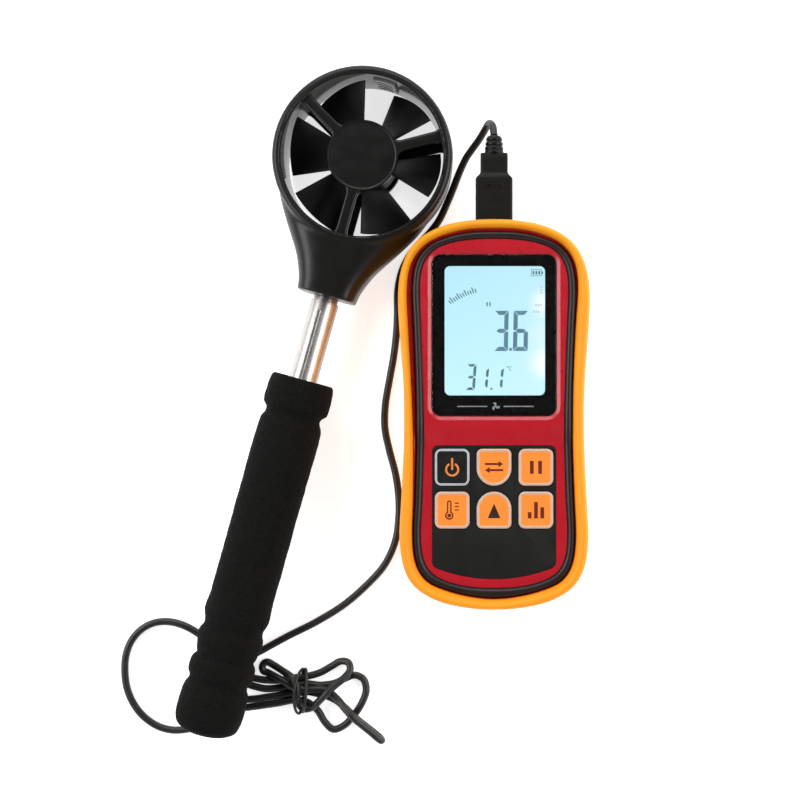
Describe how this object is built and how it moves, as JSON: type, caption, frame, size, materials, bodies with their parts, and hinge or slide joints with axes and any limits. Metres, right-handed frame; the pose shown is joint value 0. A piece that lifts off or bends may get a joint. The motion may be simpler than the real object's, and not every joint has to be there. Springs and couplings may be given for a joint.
{
  "type": "handheld weather meter",
  "caption": "Handheld meter for wind speed and air temperature, with a display unit in a rubber boot and a vane probe on a telescopic handle at the end of a cord.",
  "frame": {"origin": "centre of the display unit's back face, which lies flat on the table", "axes": "+Y towards the end with the probe socket, +Z out of the display, +X to the right when the display is read"},
  "size_m": [0.2031, 0.2898, 0.0385],
  "materials": {
    "boot_rubber": "satin",
    "red_plastic": "satin",
    "black_plastic": "fine texture",
    "gloss_black": "polished",
    "clear_window": "clear",
    "black_ink": "printed",
    "display_blue": "lit from behind",
    "light_guide": "clear",
    "white_plastic": "satin",
    "elastomer": "satin",
    "keypad_black": "fine texture",
    "key_black": "satin",
    "key_orange": "satin",
    "spring_metal": "bright",
    "board_green": "satin",
    "chip_black": "satin",
    "screw_steel": "bright",
    "plated_metal": "bright",
    "battery_case": "satin",
    "lead_wire": "satin",
    "cord_black": "satin",
    "foam_black": "matte foam",
    "tube_chrome": "polished",
    "bush_brass": "satin",
    "head_black": "satin",
    "vane_black": "satin",
    "jewel": "polished",
    "sensor_bead": "satin"
  },
  "bodies": {
    "meter": {"boot": "boot_rubber", "front_shell": "red_plastic", "rear_shell": "black_plastic", "trim_ring": "gloss_black", "display_lens": "clear_window", "display_mask": "black_ink", "lcd_glass": "display_blue", "backlight": "light_guide", "lcd_frame": "white_plastic", "contact_strips": "elastomer", "keypad_panel": "keypad_black", "key_contacts": "spring_metal", "main_board": "board_green", "board_chips": "chip_black", "buzzer": "chip_black", "board_screws": "screw_steel", "probe_socket": "plated_metal", "socket_tongue": "black_plastic", "battery": "battery_case", "battery_snap": "black_plastic", "battery_leads": "lead_wire", "case_screws": "screw_steel"},
    "battery_door": {"battery_door": "black_plastic", "door_screw": "screw_steel"},
    "power_key": {"power_key": "key_black"},
    "unit_key": {"unit_key": "key_orange"},
    "hold_key": {"hold_key": "key_orange"},
    "temp_key": {"temp_key": "key_orange"},
    "up_key": {"up_key": "key_orange"},
    "max_key": {"max_key": "key_orange"},
    "probe": {"plug_shell": "plated_metal", "plug_body": "cord_black", "plug_relief": "cord_black", "cable_lead": "cord_black", "cable_hank": "cord_black", "cable_loop": "cord_black", "cord_gland": "cord_black", "foam_grip": "foam_black", "handle_core": "black_plastic", "base_tube": "tube_chrome", "coiled_lead": "cord_black"},
    "mid_section": {"mid_tube": "tube_chrome", "mid_bush": "bush_brass"},
    "head": {"inner_tube": "tube_chrome", "inner_bush": "bush_brass", "head_front": "head_black", "head_rear": "head_black", "head_screws": "screw_steel", "vent_cover": "black_plastic", "thermistor": "sensor_bead", "sensor_board": "board_green", "front_bearing": "jewel", "rear_bearing": "jewel"},
    "impeller": {"impeller": "vane_black", "impeller_shaft": "screw_steel", "pulse_magnets": "screw_steel"}
  },
  "joints": [
    {"name": "door_hinge", "type": "hinge", "parent": "meter", "child": "battery_door", "pos_m": [0, -0.0039, 0.0012], "axis": [1, 0, 0], "range_deg": [0, 75]},
    {"name": "power_key_press", "type": "slide", "parent": "meter", "child": "power_key", "axis": [0, 0, -1], "range_m": [0, 0.0008], "stiffness_N_per_m": 900, "springref_m": -0.0004},
    {"name": "unit_key_press", "type": "slide", "parent": "meter", "child": "unit_key", "axis": [0, 0, -1], "range_m": [0, 0.0008], "stiffness_N_per_m": 900, "springref_m": -0.0004},
    {"name": "hold_key_press", "type": "slide", "parent": "meter", "child": "hold_key", "axis": [0, 0, -1], "range_m": [0, 0.0008], "stiffness_N_per_m": 900, "springref_m": -0.0004},
    {"name": "temp_key_press", "type": "slide", "parent": "meter", "child": "temp_key", "axis": [0, 0, -1], "range_m": [0, 0.0008], "stiffness_N_per_m": 900, "springref_m": -0.0004},
    {"name": "up_key_press", "type": "slide", "parent": "meter", "child": "up_key", "axis": [0, 0, -1], "range_m": [0, 0.0008], "stiffness_N_per_m": 900, "springref_m": -0.0004},
    {"name": "max_key_press", "type": "slide", "parent": "meter", "child": "max_key", "axis": [0, 0, -1], "range_m": [0, 0.0008], "stiffness_N_per_m": 900, "springref_m": -0.0004},
    {"name": "plug_pull", "type": "slide", "parent": "meter", "child": "probe", "axis": [0, 1, 0], "range_m": [0, 0.015]},
    {"name": "mid_slide", "type": "slide", "parent": "probe", "child": "mid_section", "axis": [0.2689, 0.9631, -0.014], "range_m": [0, 0.13]},
    {"name": "head_slide", "type": "slide", "parent": "mid_section", "child": "head", "axis": [0.2689, 0.9631, -0.014], "range_m": [0, 0.13]},
    {"name": "vane_spin", "type": "hinge", "parent": "head", "child": "impeller", "pos_m": [-0.0553, 0.1084, 0.01458], "axis": [0.0038, 0.0134, 0.9999], "continuous": true}
  ]
}
